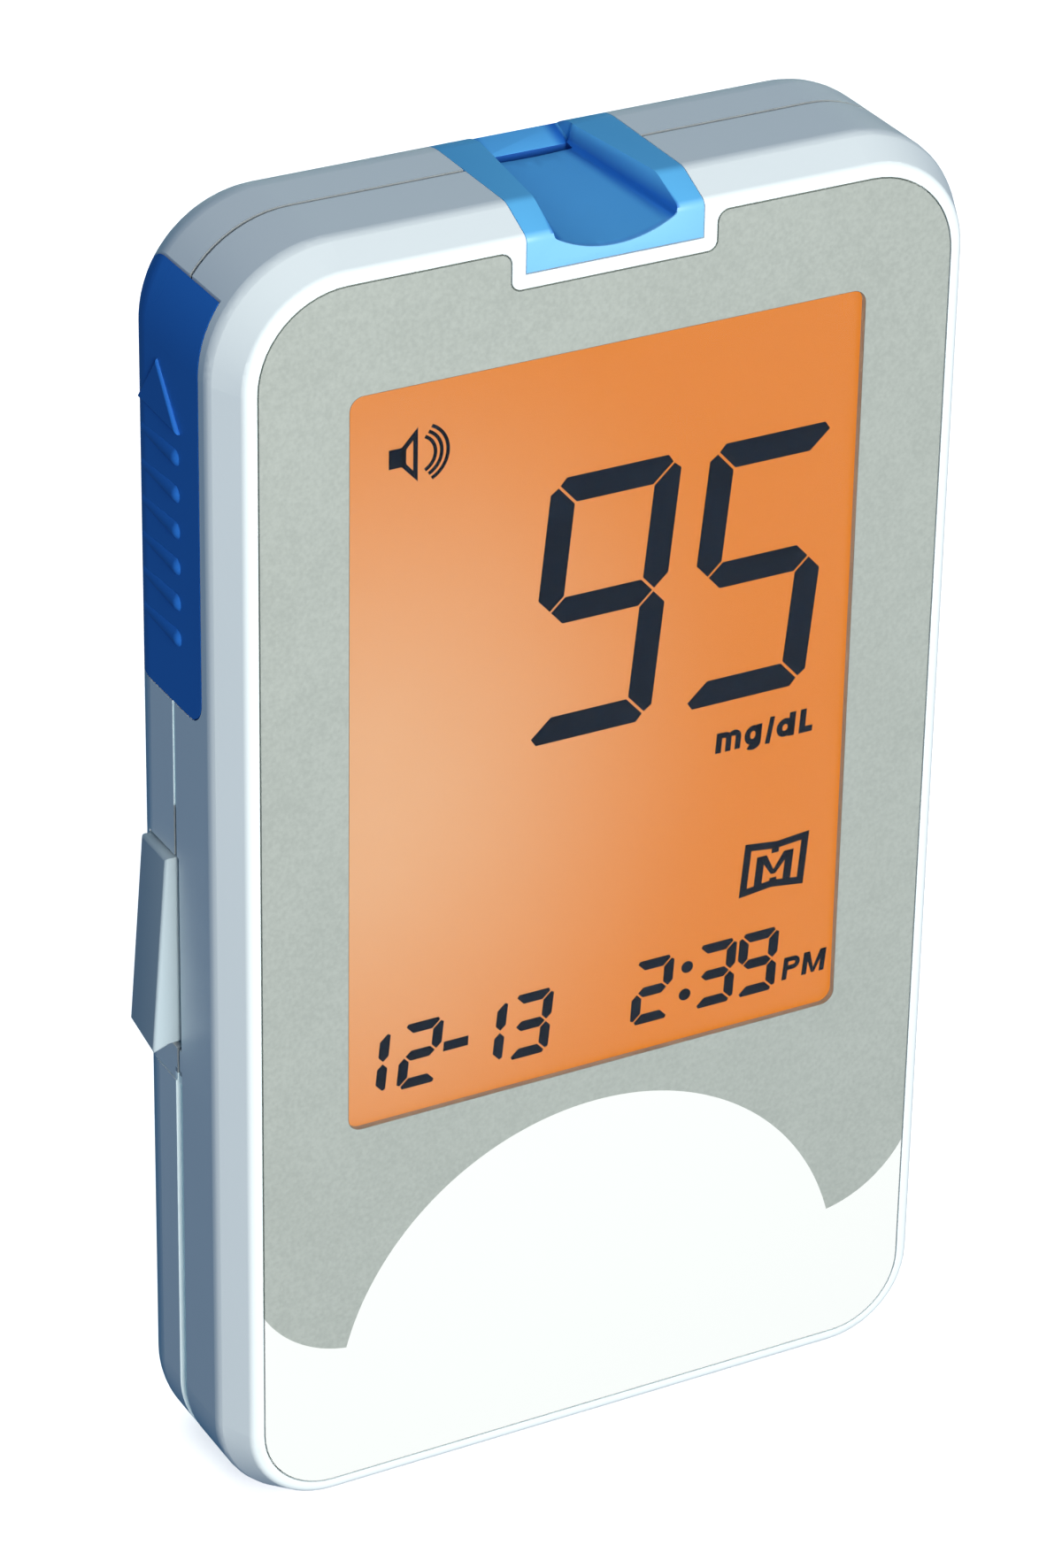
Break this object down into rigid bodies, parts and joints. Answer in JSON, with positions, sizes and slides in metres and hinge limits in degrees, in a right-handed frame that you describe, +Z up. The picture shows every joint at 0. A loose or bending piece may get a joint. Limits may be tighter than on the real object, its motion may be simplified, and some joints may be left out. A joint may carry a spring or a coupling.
{
  "type": "blood glucose meter",
  "caption": "Handheld blood glucose meter with a large lit screen, top strip port, sliding strip ejector, hinged side key and slide-off battery cover.",
  "frame": {"origin": "middle of the flat strip of the base that the meter stands on", "axes": "+Z up towards the strip port, +Y from the screen to the back, +X to the right as seen from the screen side"},
  "size_m": [0.0582, 0.0164, 0.097],
  "materials": {
    "front_casing": "satin white moulded plastic",
    "back_casing": "satin white moulded plastic",
    "battery_cover": "satin white moulded plastic",
    "faceplate": "silver and white print behind a clear satin sheet",
    "display_window": "clear acrylic",
    "plate_tape": "adhesive foam film",
    "lcd_glass": "display glass lit from behind in orange",
    "lcd_holder": "white moulded frame",
    "backlight_diffuser": "milky sheet",
    "backlight_leds": "amber lens",
    "lcd_connector": "striped elastomer",
    "main_board": "green solder mask",
    "board_chips": "black package",
    "strip_port_guide": "satin light blue plastic",
    "strip_connector": "ivory socket plastic",
    "strip_contacts": "gold-plated spring sheet",
    "ejector_slider": "satin dark blue plastic",
    "ejector_carriage": "natural white plastic",
    "ejector_spring": "bright spring wire",
    "side_key": "satin white plastic",
    "key_switch": "black switch body",
    "key_plunger": "ivory plunger",
    "set_switch": "black switch body",
    "set_button": "blue moulded button",
    "speaker": "pressed steel basket",
    "speaker_cone": "clear film membrane",
    "speaker_gasket": "black foam",
    "speaker_contacts": "gold-plated spring sheet",
    "battery_cells": "plain printed sleeve",
    "battery_bridge": "nickel-plated sheet",
    "battery_positive": "nickel-plated sheet",
    "battery_negative": "nickel-plated sheet",
    "battery_springs": "nickel-plated wire",
    "case_screws": "zinc-plated steel",
    "board_screws": "zinc-plated steel"
  },
  "bodies": {
    "case": {"front_casing": "front_casing", "back_casing": "back_casing", "faceplate": "faceplate", "display_window": "display_window", "plate_tape": "plate_tape", "lcd_glass": "lcd_glass", "lcd_holder": "lcd_holder", "backlight_diffuser": "backlight_diffuser", "backlight_leds": "backlight_leds", "lcd_connector": "lcd_connector", "main_board": "main_board", "board_chips": "board_chips", "strip_port_guide": "strip_port_guide", "strip_connector": "strip_connector", "strip_contacts": "strip_contacts", "ejector_spring": "ejector_spring", "key_switch": "key_switch", "set_switch": "set_switch", "speaker": "speaker", "speaker_cone": "speaker_cone", "speaker_gasket": "speaker_gasket", "speaker_contacts": "speaker_contacts", "battery_cells": "battery_cells", "battery_bridge": "battery_bridge", "battery_positive": "battery_positive", "battery_negative": "battery_negative", "battery_springs": "battery_springs", "case_screws": "case_screws", "board_screws": "board_screws"},
    "ejector": {"ejector_slider": "ejector_slider", "ejector_carriage": "ejector_carriage"},
    "key": {"side_key": "side_key"},
    "plunger": {"key_plunger": "key_plunger"},
    "cover": {"battery_cover": "battery_cover"},
    "button": {"set_button": "set_button"}
  },
  "joints": [
    {"name": "ejector_slide", "type": "slide", "parent": "case", "child": "ejector", "axis": [0, 0, 1], "range_m": [0, 0.005], "stiffness_N_per_m": 120, "springref_m": -0.003, "deforming": ["ejector_spring"]},
    {"name": "side_key_press", "type": "hinge", "parent": "case", "child": "key", "pos_m": [-0.0252, 0.00335, 0.0525], "axis": [0, -1, 0], "range_deg": [0, 2.29], "stiffness_Nm_per_rad": 0.5, "springref_deg": -1.15},
    {"name": "key_plunger_slide", "type": "slide", "parent": "case", "child": "plunger", "axis": [1, 0, 0], "range_m": [0, 0.00051]},
    {"name": "battery_cover_slide", "type": "slide", "parent": "case", "child": "cover", "axis": [0, 0, -1], "range_m": [0, 0.006]},
    {"name": "set_button_press", "type": "slide", "parent": "case", "child": "button", "axis": [0, -1, 0], "range_m": [0, 0.0003], "stiffness_N_per_m": 1500, "springref_m": -0.0003}
  ],
  "couplings": [
    {"joint": "key_plunger_slide", "follows": "side_key_press", "m_per_rad": 0.0125}
  ]
}
